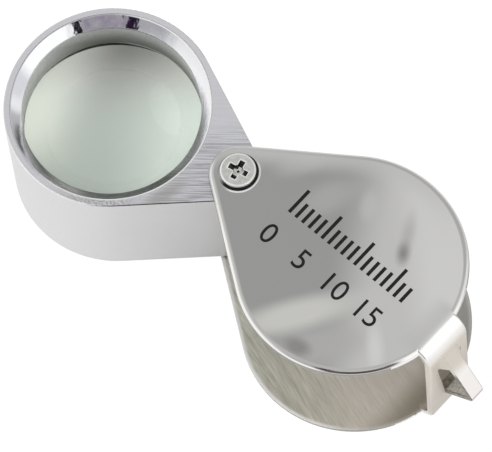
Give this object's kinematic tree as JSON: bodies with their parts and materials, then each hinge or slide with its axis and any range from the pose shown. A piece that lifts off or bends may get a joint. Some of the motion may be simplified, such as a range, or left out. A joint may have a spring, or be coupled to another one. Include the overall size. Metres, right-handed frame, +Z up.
{
  "type": "jeweler loupe",
  "caption": "Folding pocket magnifier: a lens holder that swings on a pivot screw out of a folded sheet cover with a lanyard loop.",
  "frame": {"origin": "on the flat underside of the cover, under the centre of its round end, where the lens axis lies when the loupe is folded", "axes": "+Z up out of the underside through both cheeks, parallel to the pivot; +X along the cover from the pivot to the spine and the lanyard loop"},
  "size_m": [0.0661, 0.0294, 0.0202],
  "materials": {
    "cover_steel": "polished outside, brushed inside",
    "pivot_steel": "bright",
    "washer_brass": "plain",
    "holder_aluminium": "brushed ends, satin side",
    "ring_chrome": "mirror",
    "cell_aluminium": "matt",
    "spacer_aluminium": "matt",
    "lens_glass": "polished"
  },
  "bodies": {
    "cover": {"cover": "cover_steel", "pivot_post": "pivot_steel", "pivot_screw": "pivot_steel", "friction_washer": "washer_brass", "spring_washer": "pivot_steel"},
    "holder": {"lens_holder": "holder_aluminium", "eye_ring": "ring_chrome", "object_ring": "ring_chrome", "lens_cell": "cell_aluminium", "eye_spacer": "spacer_aluminium", "object_spacer": "spacer_aluminium", "centre_element": "lens_glass", "eye_element": "lens_glass", "object_element": "lens_glass"}
  },
  "joints": [
    {"name": "holder_swing", "type": "hinge", "parent": "cover", "child": "holder", "pos_m": [-0.0174, 0, 0.00975], "axis": [0, 0, 1], "continuous": true}
  ]
}
